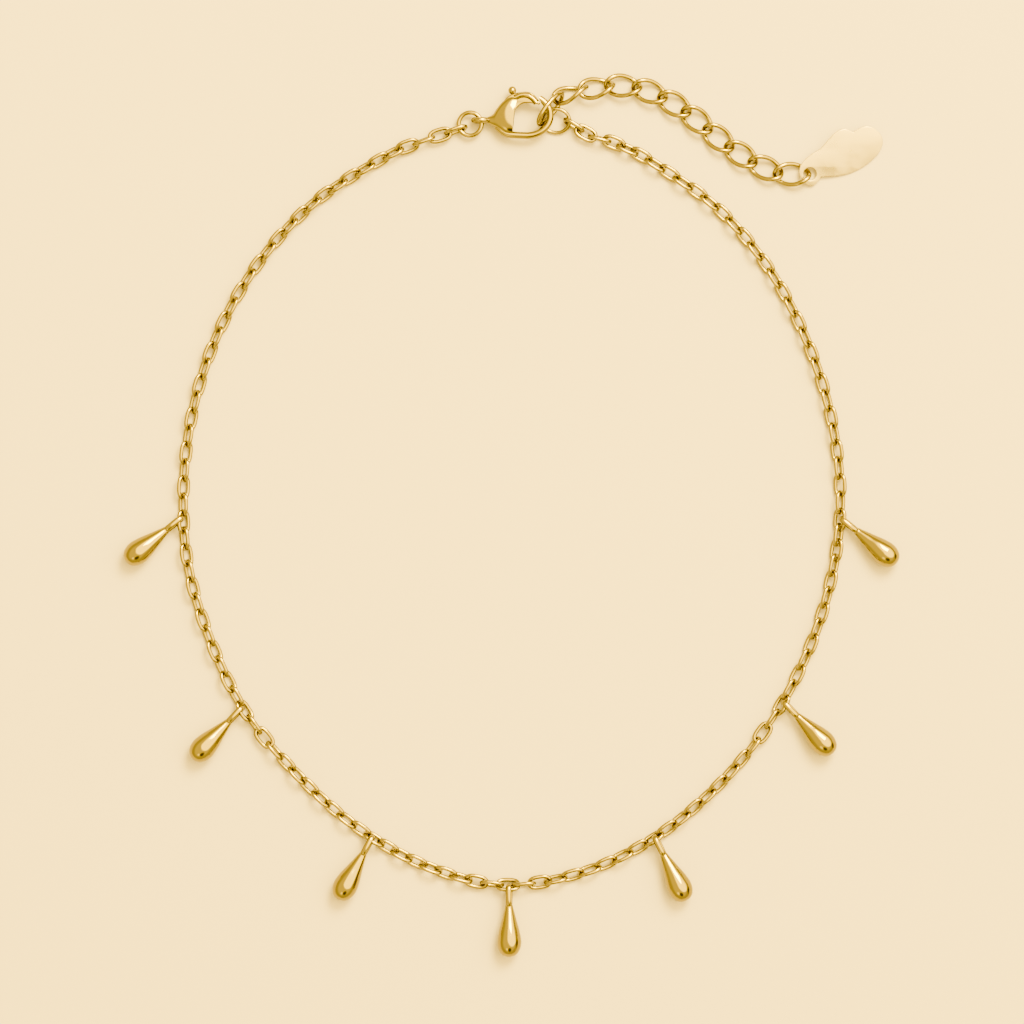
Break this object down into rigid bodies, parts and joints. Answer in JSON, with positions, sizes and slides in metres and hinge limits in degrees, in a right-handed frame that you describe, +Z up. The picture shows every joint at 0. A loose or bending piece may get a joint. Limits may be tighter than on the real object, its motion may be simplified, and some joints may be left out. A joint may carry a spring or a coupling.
{
  "type": "chain necklace with teardrop pendants",
  "caption": "Fine cable chain necklace with hanging solid teardrops, a sprung lobster clasp, a curb chain extender and a flat end tag, lying fastened in a loop.",
  "frame": {"origin": "centre of the lying necklace's bounding box, on the surface it lies on", "axes": "+Z up from the surface, +Y towards the clasp, +X to the right seen from above with the clasp at the top"},
  "size_m": [0.1316, 0.15, 0.0043],
  "materials": {
    "chain_left_gold": "polished gold plating",
    "chain_right_gold": "polished gold plating",
    "drop_1_gold": "polished gold plating",
    "drop_2_gold": "polished gold plating",
    "drop_3_gold": "polished gold plating",
    "drop_4_gold": "polished gold plating",
    "drop_5_gold": "polished gold plating",
    "drop_6_gold": "polished gold plating",
    "drop_7_gold": "polished gold plating",
    "jump_ring_gold": "polished gold plating",
    "clasp_body_gold": "polished gold plating",
    "clasp_lever_gold": "polished gold plating",
    "end_ring_gold": "polished gold plating",
    "extender_link_01_gold": "polished gold plating",
    "extender_link_02_gold": "polished gold plating",
    "extender_link_03_gold": "polished gold plating",
    "extender_link_04_gold": "polished gold plating",
    "extender_link_05_gold": "polished gold plating",
    "extender_link_06_gold": "polished gold plating",
    "extender_link_07_gold": "polished gold plating",
    "extender_link_08_gold": "polished gold plating",
    "extender_link_09_gold": "polished gold plating",
    "extender_link_10_gold": "polished gold plating",
    "extender_link_11_gold": "polished gold plating",
    "tag_gold": "polished gold plating"
  },
  "bodies": {
    "root": {"chain_left": "chain_left_gold", "chain_right": "chain_right_gold", "drop_1": "drop_1_gold", "drop_2": "drop_2_gold", "drop_3": "drop_3_gold", "drop_4": "drop_4_gold", "drop_5": "drop_5_gold", "drop_6": "drop_6_gold", "drop_7": "drop_7_gold", "jump_ring": "jump_ring_gold", "clasp_body": "clasp_body_gold", "end_ring": "end_ring_gold", "extender_link_01": "extender_link_01_gold", "extender_link_02": "extender_link_02_gold", "extender_link_03": "extender_link_03_gold", "extender_link_04": "extender_link_04_gold", "extender_link_05": "extender_link_05_gold", "extender_link_06": "extender_link_06_gold", "extender_link_07": "extender_link_07_gold", "extender_link_08": "extender_link_08_gold", "extender_link_09": "extender_link_09_gold", "extender_link_10": "extender_link_10_gold", "extender_link_11": "extender_link_11_gold", "tag": "tag_gold"},
    "lever": {"clasp_lever": "clasp_lever_gold"}
  },
  "joints": [
    {"name": "lever_hinge", "type": "hinge", "parent": "root", "child": "lever", "pos_m": [-0.00127, 0.06716, 0.00185], "axis": [0.0723, 0, -0.9974], "range_deg": [0, 20], "stiffness_Nm_per_rad": 0.002, "springref_deg": -11.46}
  ]
}
